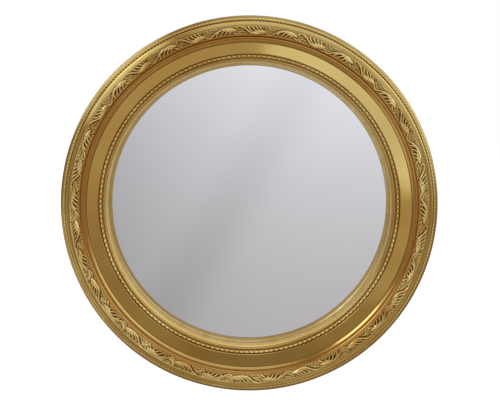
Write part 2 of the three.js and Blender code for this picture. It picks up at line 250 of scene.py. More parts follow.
def gilding_group():
    """Gold leaf over red bole: toning with painted shade where hollow, rubbed where it stands proud."""
    # The Toning colour is laid for toning and painted shade alike.
    inputs = {"Where": "Vector", "Leaf": "Color", "Warm leaf": "Color", "Toning": "Color"}
    inputs |= {"Bole": "Color", "Hollow": "Float", "Crest": "Float", "Thin": "Float", "Rub": "Float",
               "Burnish": "Float", "Shine": "Float"}
    outputs = {"Color": "Color", "Roughness": "Float", "Metallic": "Float", "Height": "Float"}
    group, given, result = effect_group("gilding", inputs, outputs)
    where = given.outputs["Where"]
    broad = noise(group, where, 14, 2)
    middle = noise(group, where, 110, 4, 0.6)
    fine = noise(group, where, 900, 3, 0.6)
    leaf = blended(group, between(group, broad, 0.35, 0.68), given.outputs["Leaf"],
                   given.outputs["Warm leaf"])
    shade = calc(group, "MULTIPLY_ADD", middle, 0.7, 0.62)
    thin = calc(group, "MULTIPLY", given.outputs["Thin"], shade, clamp=True)
    leaf = blended(group, thin, leaf, given.outputs["Bole"])
    # Toning with painted shade, as much as the hollow mask asks.
    toned_and_shaded = calc(group, "MULTIPLY", given.outputs["Hollow"], shade, clamp=True)
    colour = blended(group, toned_and_shaded, leaf, given.outputs["Toning"])
    worn = calc(group, "MULTIPLY", between(group, middle, 0.52, 0.66), given.outputs["Crest"])
    worn = calc(group, "MULTIPLY", worn, given.outputs["Rub"], clamp=True)
    colour = blended(group, worn, colour, given.outputs["Bole"])
    rough = calc(group, "MULTIPLY_ADD", toned_and_shaded, 0.25, given.outputs["Burnish"])
    rough = calc(group, "MULTIPLY_ADD", fine, 0.05, rough)
    rough = calc(group, "MULTIPLY_ADD", worn, 0.2, rough)
    metallic = calc(group, "SUBTRACT", given.outputs["Shine"], calc(group, "MULTIPLY", worn, 0.6))
    height = calc(group, "MULTIPLY_ADD", broad, 2.0, fine)
    feed(group, result, {"Color": colour, "Roughness": rough, "Metallic": metallic, "Height": height})
    return group


def material(name):
    """A new material; returns it, its tree, its Principled shader and where on the object it is."""
    made = bpy.data.materials.new(name)
    made.use_nodes = True
    tree = made.node_tree
    return made, tree, tree.nodes["Principled BSDF"], put(tree, "ShaderNodeTexCoord").outputs["Object"]


def attribute(tree, name):
    """The number that a mesh keeps for each of its points under a name."""
    return put(tree, "ShaderNodeAttribute", {"attribute_name": name}).outputs["Fac"]


def bumped(tree, shader, height, strength, distance):
    """Feeds a height to the shader's normal."""
    bump = put(tree, "ShaderNodeBump", Height=height, Strength=strength, Distance=distance)
    tree.links.new(bump.outputs[0], shader.inputs["Normal"])


GILDING = gilding_group()


def gilded(name, rub, relief, burnish, shine=1.0, leaf_colour=GOLD_LEAF):
    """Gilding on one kind of surface, with its own wear, unevenness and polish."""
    made, tree, shader, where = material(name)
    leaf = put(tree, "ShaderNodeGroup", {"node_tree": GILDING}, Where=where, Leaf=leaf_colour,
               Warm_leaf=WARM_LEAF, Toning=TONING_AND_SHADE, Bole=RED_BOLE, Hollow=attribute(tree, "hollow"),
               Crest=attribute(tree, "crest"), Thin=attribute(tree, "thin"), Rub=rub, Burnish=burnish,
               Shine=shine)
    feed(tree, shader, {"Base Color": leaf.outputs["Color"], "Roughness": leaf.outputs["Roughness"],
                        "Metallic": leaf.outputs["Metallic"]})
    bumped(tree, shader, leaf.outputs["Height"], relief, 0.00012)
    return made


def bare_beech():
    """Sawn and turned beech: the grain runs along each glued segment."""
    made, tree, shader, where = material("bare_beech")
    split = put(tree, "ShaderNodeSeparateXYZ", Vector=where)
    bearing = calc(tree, "ARCTAN2", split.outputs[0], split.outputs[2])
    turns = calc(tree, "MULTIPLY_ADD", bearing, 4 / math.pi, -FIRST_JOINT / 45)
    number = calc(tree, "FLOOR", turns)
    middle = calc(tree, "MULTIPLY_ADD", number, math.pi / 4, math.radians(FIRST_JOINT + 22.5))
    laid = put(tree, "ShaderNodeVectorRotate", {"rotation_type": "Y_AXIS"}, Vector=where,
               Angle=calc(tree, "MULTIPLY", middle, -1.0))
    grain = streaks(tree, laid.outputs[0], (9, 160, 160), 5, 0.62)
    fleck = between(tree, streaks(tree, laid.outputs[0], (160, 900, 900), 1), 0.62, 0.7)
    tone = put(tree, "ShaderNodeTexWhiteNoise", {"noise_dimensions": "1D"}, W=number).outputs[0]
    shade = calc(tree, "ADD", calc(tree, "MULTIPLY", grain, 0.9), calc(tree, "MULTIPLY", tone, 0.3))
    colour = blended(tree, between(tree, shade, 0.3, 0.85), BEECH, BEECH_DARK)
    colour = blended(tree, calc(tree, "MULTIPLY", fleck, 0.35), colour, BEECH_DARK)
    part = calc(tree, "FRACT", turns)
    edge = calc(tree, "MINIMUM", part, calc(tree, "SUBTRACT", 1.0, part))
    joint = between(tree, edge, 0.0026, 0.0010)
    colour = blended(tree, calc(tree, "MULTIPLY", joint, 0.8), colour, GLUE_LINE)
    feed(tree, shader, {"Base Color": colour, "Roughness": calc(tree, "MULTIPLY_ADD", grain, 0.2, 0.5)})
    bumped(tree, shader, calc(tree, "SUBTRACT", grain, joint), 0.5, 0.00025)
    return made


def matt_gilding():
    """Pale gilding on the inner face of the lip, that no burnisher can reach."""
    made, tree, shader, where = material("matt_gilding")
    patch = between(tree, noise(tree, where, 60, 4, 0.6), 0.35, 0.75)
    feed(tree, shader, {"Base Color": blended(tree, patch, MATT_GOLD, MATT_GOLD_WARM), "Metallic": 1.0,
                        "Roughness": calc(tree, "MULTIPLY_ADD", patch, 0.1, 0.3)})
    bumped(tree, shader, noise(tree, where, 500, 3), 0.2, 0.0001)
    return made


def within(values, span, ease):
    """1 inside a span and 0 outside it, with eased ends."""
    return np.clip((values - span[0]) / ease, 0, 1) * np.clip((span[1] - values) / ease, 0, 1)


def make_frame():
    """The ring with its mouldings; its bare faces are the back and the rebate."""
    outline = rounded_outline(frame_corners(), lambda at: 1.5 if at[1] > 30 else 7.0)
    mesh = turned_mesh("gilt_frame", outline, ROUND_STEPS, TURNING_WAVER)
    hollow = hollowness(outline, 1.6) / FULL_CREST
    radius, depth = outline.T
    # The outer side below SIDE_TOP is made darker.
    side = np.clip((SIDE_TOP - depth) / 2.5, 0, 1) * (radius > SIDE_RADIUS) * 0.5
    cove = within(radius, COVE, 1.0)
    # hollow: toning with painted shade in the grooves, kept almost out of the cove, plus the darker outer
    # side.
    masks = {"hollow": np.clip(hollow, 0, 1) * (1 - 0.95 * cove) + side,
             "crest": np.clip(-hollow, 0, 1), "thin": cove * 0.8 + within(radius, ASTRAGAL, 0.6) * 0.5}
    for name, values in masks.items():
        point_attribute(mesh, name, np.tile(values, ROUND_STEPS))
    radius, depth = ((outline + np.roll(outline, -1, 0)) / 2).T
    bare = (depth < BACK_DEPTH + 0.4) | ((radius < REBATE_RADIUS + 0.5) & (depth < REBATE_DEPTH + 0.3))
    inner = (radius < SIGHT_RADIUS + 1) & (depth > REBATE_DEPTH - 0.1) & (depth < INNER_FACE_TOP)
    mesh.polygons.foreach_set("material_index", np.tile(np.where(inner, 2, bare), ROUND_STEPS))
    smooth_faces(mesh)
    return mesh


gilded_wood = gilded("gilded_wood", rub=0.15, relief=0.1, burnish=0.035)
gilt_frame = piece("gilt_frame", make_frame(), gilded_wood, bare_beech(), matt_gilding())
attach(gilt_frame, "mirror")
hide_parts(*SEGMENTS)


# Leaf ornament: six pressed lengths of composition, three motifs to a length, glued on the flat
# crown and gilded with it. A stem waves along the band: one half leaf curls its fingers in over
# the cove, the next spreads them out over the shoulder, with berries and small scrolls between.

# A paler copy of the gold leaf, made lighter to stand in for the light the ornament catches: painted
# light.
PALE_LIT_LEAF = (0.99, 0.74, 0.28, 1)
LEAF_RADIUS = 274.0
LEAF_HALF_WIDTH = 7.2
LEAF_SEAT = 48.15
LEAF_GROUND = 0.32
LEAF_TOP = 4.5
MOTIF_SPAN = 20.0  # degrees
MOTIFS_TO_A_STRIP = 3
FIRST_MOTIF = 6.9
MOTIF_STEPS = (264, 40)  # along and across
DEGREE = math.radians(1) * LEAF_RADIUS  # length of one degree along the band, in mm


def flowing(points, count=22):
    """A smooth run through a few points."""
    points = np.array(points, float)
    padded = np.vstack([2 * points[0] - points[1], points, 2 * points[-1] - points[-2]])
    runs = []
    spans = len(points) - 1
    for at in np.linspace(0, spans, count):
        k = min(int(at), spans - 1)
        t = at - k
        a, b, c, d = padded[k:k + 4]
        runs.append(0.5 * (2 * b + (c - a) * t + (2 * a - 5 * b + 4 * c - d) * t ** 2
                           + (3 * b - a - 3 * c + d) * t ** 3))
    return np.array(runs)


def carve(field, along, across, path, widths, heights):
    """Raises a rounded stroke on the field. The path is [degrees, share of the half width];
    widths and heights in mm are for its start, middle and end."""
    run = flowing(path) * [DEGREE, LEAF_HALF_WIDTH]
    share = np.linspace(0, 1, len(run))
    width = np.interp(share, [0, 0.5, 1], widths)
    height = np.interp(share, [0, 0.5, 1], heights)
    for shift in (-MOTIF_SPAN * DEGREE, 0, MOTIF_SPAN * DEGREE):
        low, high = run[:, 0].min() + shift - 4, run[:, 0].max() + shift + 4
        near = (along[:, 0] > low) & (along[:, 0] < high)
        if not near.any():
            continue
        x, y = along[near] - shift, across[near]
        best = np.zeros(x.shape)
        for k in range(len(run) - 1):
            step = run[k + 1] - run[k]
            t = ((x - run[k, 0]) * step[0] + (y - run[k, 1]) * step[1]) / (step @ step + 1e-9)
            t = np.clip(t, 0, 1)
            off = np.hypot(x - run[k, 0] - t * step[0], y - run[k, 1] - t * step[1])
            reach = width[k] + (width[k + 1] - width[k]) * t
            rise = height[k] + (height[k + 1] - height[k]) * t
            best = np.maximum(best, rise * np.clip(1 - (off / reach) ** 2, 0, 1) ** 0.65)
        field[near] = np.maximum(field[near], best)


MOTIF_STROKES = [  # path in degrees and shares of the half width, then widths and heights in mm
    # The rising stem with the boss that ends it
    ([(-1.3, -0.4), (-0.7, -0.72), (0.1, -0.86), (1.2, -0.46), (2.6, 0.12), (4.2, 0.42), (6.0, 0.42)],
     (1.3, 1.4, 2.3), (3.2, 3.6, 4.2)),
    ([(4.9, 0.42), (6.8, 0.24), (8.7, 0.08)], (2.3, 4.0, 1.9), (4.0, 4.5, 3.4)),
    # Its fingers, that sweep back and down to the inner edge
    ([(4.0, 0.3), (3.0, 0.0), (2.35, -0.46), (2.25, -0.95)], (1.3, 1.5, 1.0), (4.1, 3.8, 2.4)),
    ([(5.3, 0.26), (4.4, -0.1), (3.8, -0.52), (3.7, -0.97)], (1.4, 1.5, 1.0), (4.2, 3.9, 2.4)),
    ([(6.4, 0.1), (5.7, -0.2), (5.15, -0.56), (5.1, -0.95)], (1.4, 1.4, 0.95), (4.2, 3.8, 2.3)),
    ([(7.4, -0.05), (6.9, -0.3), (6.5, -0.55), (6.45, -0.86)], (1.2, 1.2, 0.8), (3.8, 3.3, 2.1)),
    # The scroll that opens into the falling stem, and the boss that ends that
    ([(9.9, 0.4), (9.3, 0.32), (9.2, 0.6), (9.8, 0.84), (10.8, 0.78), (11.8, 0.42), (12.8, -0.08),
      (13.8, -0.48), (15.2, -0.66), (16.6, -0.5)], (0.95, 1.5, 2.3), (2.9, 3.6, 4.2)),
    ([(14.7, -0.42), (16.7, -0.28), (18.2, -0.2)], (2.3, 4.0, 2.4), (3.9, 4.5, 3.6)),
    # Its fingers, that sweep back and up to the outer edge
    ([(14.7, -0.3), (13.7, 0.05), (13.0, 0.5), (12.85, 0.95)], (1.3, 1.5, 1.0), (4.0, 3.8, 2.4)),
    ([(15.8, -0.12), (15.0, 0.14), (14.3, 0.54), (14.15, 0.97)], (1.4, 1.5, 1.0), (4.2, 3.9, 2.4)),
    ([(16.8, -0.02), (16.2, 0.2), (15.6, 0.56), (15.45, 0.95)], (1.4, 1.4, 0.95), (4.2, 3.8, 2.3)),
    ([(17.6, 0.05), (17.2, 0.26), (16.8, 0.5), (16.75, 0.84)], (1.2, 1.2, 0.8), (3.8, 3.3, 2.1)),
    # Small curls in the outer gaps, and a drooping petal in the inner one
    ([(17.75, 0.5), (17.6, 0.8), (18.1, 0.95), (18.5, 0.7), (18.2, 0.45)], (0.6, 0.7, 0.5),
     (2.6, 2.8, 2.2)),
    ([(-0.5, 0.85), (-0.25, 0.5), (0.5, 0.26), (1.5, 0.34)], (1.2, 1.1, 0.7), (3.4, 3.2, 1.8)),
    ([(1.0, 0.86), (1.9, 0.74), (2.6, 0.82)], (0.6, 0.8, 0.5), (1.8, 2.4, 1.4)),
    ([(7.95, -0.36), (8.5, -0.58), (9.05, -0.8)], (1.1, 1.8, 1.1), (3.0, 3.7, 2.4)),
    ([(12.0, -0.36), (11.2, -0.14), (10.3, -0.26)], (1.0, 1.0, 0.7), (2.8, 2.8, 1.8)),
]
MOTIF_BERRIES = [  # place as above, then the size in mm
    (7.6, -0.8, 1.15), (10.2, -0.68, 1.9), (11.5, -0.72, 1.15), (12.55, -0.78, 1.3), (13.6, -0.85, 0.9),
]
MOTIF_GROOVES = [[(3.4, 0.32), (4.9, 0.56), (6.6, 0.56)], [(13.5, -0.3), (14.9, -0.62), (16.6, -0.66)]]


def motif_relief():
    """Heights above the ground of one motif, on a grid along and across the band."""
    steps_along, steps_across = MOTIF_STEPS
    along, across = np.meshgrid(np.linspace(0, MOTIF_SPAN * DEGREE, steps_along + 1),
                                np.linspace(-1, 1, steps_across + 1) * LEAF_HALF_WIDTH, indexing="ij")
    field = np.zeros(along.shape)
    for path, widths, heights in MOTIF_STROKES:
        carve(field, along, across, path, widths, heights)
    for degrees, share, size in MOTIF_BERRIES:
        spot = [(degrees, share), (degrees + 0.02, share)]
        carve(field, along, across, spot, (size,) * 3, (size * 1.7,) * 3)
    for path in MOTIF_GROOVES:
        groove = np.zeros(field.shape)
        carve(groove, along, across, path, (0.3, 0.45, 0.3), (0.5, 0.8, 0.5))
        field -= np.minimum(groove, field * 0.5)
    return along, across, field


def softened(field, times):
    """Evens a field out with its neighbours; it runs on from end to end along the band."""
    for _ in range(times):
        inner = field[:-1]
        ring = (np.roll(inner, 1, 0) + np.roll(inner, -1, 0) + 2 * inner) / 4
        field = np.vstack([ring, ring[:1]])
        field[:, 1:-1] = (field[:, :-2] + field[:, 2:] + 2 * field[:, 1:-1]) / 4
    return field


def motif_mesh():
    """One motif at the top of the ring, from bearing 0, open at its two ends."""
    along, across, field = motif_relief()
    field = softened(np.minimum(field, LEAF_TOP), 1)
    hollow = softened(field, 14) - field
    rim = np.clip((LEAF_HALF_WIDTH - np.abs(across)) / 0.5, 0, 1)
    depth = LEAF_SEAT + (LEAF_GROUND + field) * rim
    rows, columns = field.shape
    bearing = along / LEAF_RADIUS
    radius = LEAF_RADIUS + across
    top = np.stack([radius * np.sin(bearing), -depth, radius * np.cos(bearing)], 2)
    base = top[:, [0, -1]].copy()
    base[:, :, 1] = 0.4 - LEAF_SEAT
    places = np.concatenate([top.reshape(-1, 3), base.reshape(-1, 3)]) * MM
    faces = []
    low = rows * columns
    for i in range(rows - 1):
        a, b = i * columns, (i + 1) * columns
        faces += [(a + j, b + j, b + j + 1, a + j + 1) for j in range(columns - 1)]
        inner, outer = low + 2 * i, low + 2 * i + 1
        faces.append((inner, inner + 2, b, a))
        faces.append((a + columns - 1, b + columns - 1, outer + 2, outer))
        faces.append((inner, outer, outer + 2, inner + 2))
    mesh = bpy.data.meshes.new("leaf_motif")
    mesh.from_pydata(places.tolist(), [], faces)
    ends = np.zeros(base.shape[0] * 2)
    # Toning with painted shade in the hollows between the leaves, and a little painted shade over the low
    # ground.
    low_ground_shade = np.clip(1 - field / 1.1, 0, 1) * 0.12
    masks = {"hollow": np.clip(hollow / 0.8, 0, 1) + low_ground_shade, "crest": np.clip(-hollow / 0.75, 0, 1),
             "thin": np.clip(-across / LEAF_HALF_WIDTH - 0.3, 0, 1) * np.clip(1 - field / 2.5, 0, 1) * 0.8}
    for name, values in masks.items():
        point_attribute(mesh, name, np.concatenate([values.ravel(), ends]))
    smooth_faces(mesh)
    end = np.concatenate([top[0], base[0, ::-1]])
    return mesh, end


def strip_ends(section, span):
    """The two end faces of a strip: the motif's section at bearing 0, and again a span on."""
    mesh = bpy.data.meshes.new("strip_ends")
    c, s = math.cos(math.radians(span)), math.sin(math.radians(span))
    places = np.concatenate([section, section @ np.array([[c, 0, -s], [0, 1, 0], [s, 0, c]])]) * MM
    corners = list(range(len(places)))
    mesh.from_pydata(places.tolist(), [], [corners[:len(section)], corners[:len(section) - 1:-1]])
    return mesh


def geometry_tree(name, sockets):
    """An empty geometry tree with its named inputs; returns it and its in and out nodes."""
    tree = bpy.data.node_groups.new(name, "GeometryNodeTree")
    for title, kind in sockets.items():
        tree.interface.new_socket(title, in_out="INPUT", socket_type="NodeSocket" + kind)
    tree.interface.new_socket("Geometry", in_out="OUTPUT", socket_type="NodeSocketGeometry")
    return tree, tree.nodes.new("NodeGroupInput"), tree.nodes.new("NodeGroupOutput")


def copies_at(tree, given, spots, angle):
    """The part as real copies on spots, turned about the mirror's axis by an angle."""
    turn = put(tree, "ShaderNodeCombineXYZ", Y=angle)
    source = put(tree, "GeometryNodeObjectInfo", Object=given.outputs["Part"])
    copies = put(tree, "GeometryNodeInstanceOnPoints", Points=spots, Rotation=turn.outputs[0],
                 Instance=source.outputs["Geometry"])
    return put(tree, "GeometryNodeRealizeInstances", Geometry=copies.outputs[0]).outputs[0]


def finished(tree, given, result, made):
    """Ends a tree with its material."""
    made = put(tree, "GeometryNodeSetMaterial", Geometry=made, Material=given.outputs["Finish"])
    tree.links.new(made.outputs[0], result.inputs[0])
    return tree


def round_the_axis():
    """Repeats a part about the mirror's axis and joins it to what closes or carries it."""
    sockets = {"Geometry": "Geometry", "Part": "Object", "Count": "Int", "First angle": "Float",
               "Step angle": "Float", "Finish": "Material"}
    tree, given, result = geometry_tree("round_the_axis", sockets)
    spots = put(tree, "GeometryNodeMeshLine", Count=given.outputs["Count"], Offset=(0, 0, 0))
    index = put(tree, "GeometryNodeInputIndex").outputs[0]
    angle = calc(tree, "MULTIPLY_ADD", index, given.outputs["Step angle"], given.outputs["First angle"])
    both = put(tree, "GeometryNodeJoinGeometry")
    for made in (given.outputs["Geometry"], copies_at(tree, given, spots.outputs[0], angle)):
        tree.links.new(made, both.inputs[0])
    merged = put(tree, "GeometryNodeMergeByDistance", Geometry=both.outputs[0], Distance=0.00002)
    return finished(tree, given, result, merged.outputs[0])


def baked(name, tree, base, part, values):
    """Runs a tree with a part on a base mesh and keeps the plain mesh that comes out."""
    maker, source = piece(name + "_maker", base), piece(name + "_part", part)
    run = maker.modifiers.new("run", "NODES")
    run.node_group = tree
    values = values | {"Part": source}
    for item in tree.interface.items_tree:
        if item.item_type == "SOCKET" and item.in_out == "INPUT" and item.name in values:
            run[item.identifier] = values[item.name]
    view = bpy.context.evaluated_depsgraph_get()
    mesh = bpy.data.meshes.new_from_object(maker.evaluated_get(view), depsgraph=view)
    maker.modifiers.remove(run)
    for helper in (maker, source):
        bpy.data.objects.remove(helper)
    mesh.name = name
    return mesh


REPEAT = round_the_axis()


def repeated(name, base, part, count, first, step, finish):
    """A part repeated round the axis, with its first and next turns in degrees, on its base."""
    values = {"Count": count, "First angle": math.radians(first), "Step angle": math.radians(step),
              "Finish": finish}
    return baked(name, REPEAT, base, part, values)


gilded_leaves = gilded("gilded_composition", rub=0.1, relief=0.3, burnish=0.06, shine=0.8,
                       leaf_colour=PALE_LIT_LEAF)
motif, motif_end = motif_mesh()
STRIP_SPAN = MOTIF_SPAN * MOTIFS_TO_A_STRIP
for number in range(6):
    name = f"acanthus_{number + 1}"
    first = FIRST_MOTIF + number * STRIP_SPAN
    ends = strip_ends(motif_end, STRIP_SPAN)
    ends.transform(Matrix.Rotation(math.radians(first), 4, "Y"))
    strip = piece(name, repeated(name, ends, motif.copy(), MOTIFS_TO_A_STRIP, first, MOTIF_SPAN,
                                 gilded_leaves))
    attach(strip, "mirror")
    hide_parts(f"leaf_strip_{number + 1}")


# Pearl string: one pressed length of oval pearls on a thin strip, bent round and glued into the
# groove between the sight lip and the polished band, then gilded.

PEARLS = 187
PEARL_RADIUS = 235.8
PEARL_BED = 34.5
PEARL_SLOPE = 0.24
PEARL_HALF = (3.5, 2.2)  # along and across
PEARL_HEIGHT = 4.1


def bead_mesh(name, radius, bed, slope, half, height, rings, sides, inner_shade=0.0):
    """A domed oval bead at the top of the ring, closed below, with toning and painted shade at its foot
    and painted shade on its inner side.
    """
    places, hollow = [], []
    for k in range(rings + 1):
        lift = math.pi / 2 * k / rings
        for s in range(sides if k < rings else 1):
            turn = 2 * math.pi * s / sides
            x = half[0] * math.cos(lift) ** 0.65 * math.cos(turn)
            z = half[1] * math.cos(lift) * math.sin(turn)
            places.append((x, -(bed + slope * z + height * math.sin(lift)), radius + z))
            # Toning with painted shade at the bead's foot, and painted shade on its inner side.
            inward = max(0, -math.sin(turn)) * math.cos(lift)
            hollow.append(0.5 * math.cos(lift) ** 8 + inner_shade * inward)
    faces = [tuple(range(sides))]
    for k in range(rings - 1):
        a, b = k * sides, (k + 1) * sides
        faces += [(a + s, b + s, b + (s + 1) % sides, a + (s + 1) % sides) for s in range(sides)]
    last, tip = (rings - 1) * sides, rings * sides
    faces += [(last + s, tip, last + (s + 1) % sides) for s in range(sides)]
    mesh = bpy.data.meshes.new(name)
    mesh.from_pydata((np.array(places) * MM).tolist(), [], faces)
    point_attribute(mesh, "hollow", hollow)
    point_attribute(mesh, "crest", [0.6 * max(0, 1 - value) for value in hollow])
    smooth_faces(mesh, 60)
    return mesh


def bead_strip(name, radius, bed, slope, half, height, steps):
    """The thin strip that carries the beads, a low ridge right round."""
    across = np.array([-1, -0.8, -0.35, 0.35, 0.8, 1])
    rise = np.array([-0.35, 0.25, 1, 1, 0.25, -0.35]) * height
    top = np.stack([radius + across * half, bed + slope * across * half + rise], 1)
    outline = np.vstack([top, top[::-1] - [0, 0.1]])[:-1]
    outline[len(top):, 1] = bed - 0.5
    mesh = turned_mesh(name, outline, steps)
    # Toning with painted shade on the strip, where it shows between the beads.
    point_attribute(mesh, "hollow", [0.3] * len(mesh.vertices))
    point_attribute(mesh, "crest", [0.0] * len(mesh.vertices))
    smooth_faces(mesh, 60)
    return mesh


pearl = bead_mesh("pearl", PEARL_RADIUS, PEARL_BED, PEARL_SLOPE, PEARL_HALF, PEARL_HEIGHT, 4, 12)
pearl_core = bead_strip("pearl_core", PEARL_RADIUS, PEARL_BED, PEARL_SLOPE, 1.9, 1.1, PEARLS * 2)
pearls = piece("pearls", repeated("pearls", pearl_core, pearl, PEARLS, 0, 360 / PEARLS, gilded_leaves))
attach(pearls, "mirror")
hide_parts("pearl_string")


# Fine bead string: a second, smaller pressed string round the outer edge, glued on its bed below
# the shoulder, then gilded.

BEADS = 329
BEAD_RADIUS = 293.5
BEAD_BED = 36.4
BEAD_SLOPE = -0.333
BEAD_HALF = (2.45, 1.9)
BEAD_HEIGHT = 2.1

fine_bead = bead_mesh("fine_bead", BEAD_RADIUS, BEAD_BED, BEAD_SLOPE, BEAD_HALF, BEAD_HEIGHT, 3, 10, 0.3)
fine_core = bead_strip("fine_core", BEAD_RADIUS, BEAD_BED, BEAD_SLOPE, 2.0, 0.7, BEADS * 2)
fine_beads = piece("fine_beads", repeated("fine_beads", fine_core, fine_bead, BEADS, 0, 360 / BEADS,
                                          gilded_leaves))
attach(fine_beads, "mirror")
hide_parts("bead_string")


# Convex glass: 3 mm sheet glass sagged over a mould to a shallow dome, silvered on its back and
# painted over grey. It lies in the rebate against the sight lip.

GLASS_RADIUS = 231.3
GLASS_RISE = 25.0
GLASS_THICKNESS = 3.0
GLASS_RIM_DEPTH = 18.7
GLASS_EDGE = 0.4  # the ground edge, at the front and the back
GLASS_STEPS = 256
SILVER = (0.925, 0.935, 0.955, 1)
SILVER_DULL = (0.91, 0.92, 0.94, 1)
PAINT_GREY = (0.17, 0.17, 0.18, 1)
PAINT_GREY_PALE = (0.27, 0.27, 0.27, 1)


def glass_outline():
    """Half the section of the dome: the front surface out, the rim, and the back surface in."""
    sphere = (GLASS_RADIUS ** 2 + GLASS_RISE ** 2) / (2 * GLASS_RISE)
    centre = GLASS_RIM_DEPTH + GLASS_RISE - sphere

    def surface(radius, inset):
        return centre + math.sqrt((sphere - inset) ** 2 - radius ** 2)

    radii = np.linspace(0, GLASS_RADIUS - GLASS_EDGE, 44)
    front = [(r, surface(r, 0)) for r in radii]
    rim = [(GLASS_RADIUS, surface(GLASS_RADIUS, inset))
           for inset in (GLASS_EDGE, GLASS_THICKNESS - GLASS_EDGE)]
    back = [(r, surface(r, GLASS_THICKNESS)) for r in radii[::-1][::4]]
    return front, rim, back


def domed_mesh(name, outline, steps):
    """A solid of revolution from a clockwise half section that starts and ends on the axis."""
    places, faces, rows = [], [], []
    for radius, depth in outline:
        count = 1 if radius < 1e-6 else steps
        rows.append((len(places), count))
        for k in range(count):
            angle = 2 * math.pi * k / steps
            places.append((radius * math.sin(angle) * MM, -depth * MM, radius * math.cos(angle) * MM))
    for (a, size), (b, after) in zip(rows, rows[1:]):
        for k in range(steps):
            here, ahead = k, (k + 1) % steps
            if size == 1:
                faces.append((a, b + ahead, b + here))
            elif after == 1:
                faces.append((a + here, a + ahead, b))
            else:
                faces.append((a + here, a + ahead, b + ahead, b + here))
    mesh = bpy.data.meshes.new(name)
    mesh.from_pydata(places, [], faces)
    return mesh, rows


def silvered():
    """A mirror surface, with the slight unevenness of sagged glass."""
    made, tree, shader, where = material("silvered_glass")
    colour = blended(tree, between(tree, noise(tree, where, 5, 2), 0.3, 0.7), SILVER, SILVER_DULL)
    feed(tree, shader, {"Base Color": colour, "Metallic": 1.0, "Roughness": 0.0})
    bumped(tree, shader, noise(tree, where, 9, 1), 0.04, 0.0006)
    return made


def backing_paint():
    """Grey paint over the silver, brushed on."""
    made, tree, shader, where = material("backing_paint")
    brush = streaks(tree, where, (20, 20, 300), 4)
    feed(tree, shader, {"Base Color": blended(tree, brush, PAINT_GREY, PAINT_GREY_PALE), "Roughness": 0.6})
    bumped(tree, shader, brush, 0.3, 0.0002)
    return made


glass_front, glass_rim, glass_back = glass_outline()
glass_mesh, glass_rows = domed_mesh("mirror_glass", glass_front + glass_rim + glass_back,
                                   GLASS_STEPS)
behind = glass_rows[len(glass_front) + 1][0]
for face in glass_mesh.polygons:
    face.material_index = int(min(face.vertices) >= behind)
smooth_faces(glass_mesh, 40)
mirror_glass = piece("mirror_glass", glass_mesh, silvered(), backing_paint())
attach(mirror_glass, "mirror")
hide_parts("convex_glass")


# Rim packing: a strip of grey wool felt laid round behind the rim of the glass, which the board
# presses forward.

FELT_DARK = (0.14, 0.13, 0.12, 1)
FELT_PALE = (0.42, 0.4, 0.37, 1)


def wool_felt():
    """Matted wool fibres."""
    made, tree, shader, where = material("wool_felt")
    fibre = noise(tree, where, 900, 6, 0.75)
    shade = calc(tree, "MULTIPLY", fibre, noise(tree, where, 60, 2))
    feed(tree, shader, {"Base Color": blended(tree, shade, FELT_DARK, FELT_PALE), "Roughness": 0.95})
    bumped(tree, shader, fibre, 0.8, 0.0006)
    return made


packing_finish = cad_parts["rim_packing"].data.materials
packing_finish.clear()
packing_finish.append(wool_felt())


# Backing board: a disc of brown hardboard, 3 mm thick, sawn round and dropped into the rebate
# behind the packing. Its smooth face is outwards.

BOARD_RADIUS = 231.3
BOARD_DEPTHS = (6.3, 9.3)  # its back and its front
BOARD_EASE = 0.4
HARDBOARD = (0.235, 0.125, 0.058, 1)
HARDBOARD_PALE = (0.36, 0.215, 0.115, 1)


def pressed_board():
    """Hardboard: pressed fibre, speckled, with scuffs and a paler sawn edge."""
    made, tree, shader, where = material("hardboard")
    speck = noise(tree, where, 420, 5, 0.7)
    cloud = noise(tree, where, 12, 3)
    shade = calc(tree, "ADD", calc(tree, "MULTIPLY", speck, 0.7), calc(tree, "MULTIPLY", cloud, 0.5))
    colour = blended(tree, between(tree, shade, 0.25, 1.1), HARDBOARD, HARDBOARD_PALE)
    scratch = between(tree, streaks(tree, where, (6, 1, 420), 2, turn=(0, 0.7, 0)), 0.69, 0.73)
    colour = blended(tree, calc(tree, "MULTIPLY", scratch, 0.3), colour, HARDBOARD_PALE)
    feed(tree, shader, {"Base Color": colour, "Roughness": calc(tree, "MULTIPLY_ADD", speck, 0.25, 0.38)})
    bumped(tree, shader, calc(tree, "SUBTRACT", speck, scratch), 0.35, 0.0001)
    return made


board_back, board_front = BOARD_DEPTHS
board_section = [(0, board_front), (BOARD_RADIUS - BOARD_EASE, board_front),
                 (BOARD_RADIUS, board_front - BOARD_EASE), (BOARD_RADIUS, board_back + BOARD_EASE),
                 (BOARD_RADIUS - BOARD_EASE, board_back), (0, board_back)]
board_mesh, _ = domed_mesh("board", board_section, 192)
smooth_faces(board_mesh, 30)
board = piece("board", board_mesh, pressed_board())
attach(board, "mirror")
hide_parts("backing_board")


# Turn buttons: eight flat keepers stamped from zinc plated steel strip. Each swings on its screw
# from the frame's back over the edge of the board.

BUTTON_RADIUS = 242.0  # of the circle of pivots
BUTTON_REACH = 24.0
BUTTON_HALF_WIDTH = 5.0
PLATE_DEPTHS = (4.5, 5.7)
PLATE_EASE = 0.18
HOLE_RADIUS = 1.9
ZINC = (0.62, 0.61, 0.585, 1)
ZINC_DULL = (0.30, 0.285, 0.26, 1)


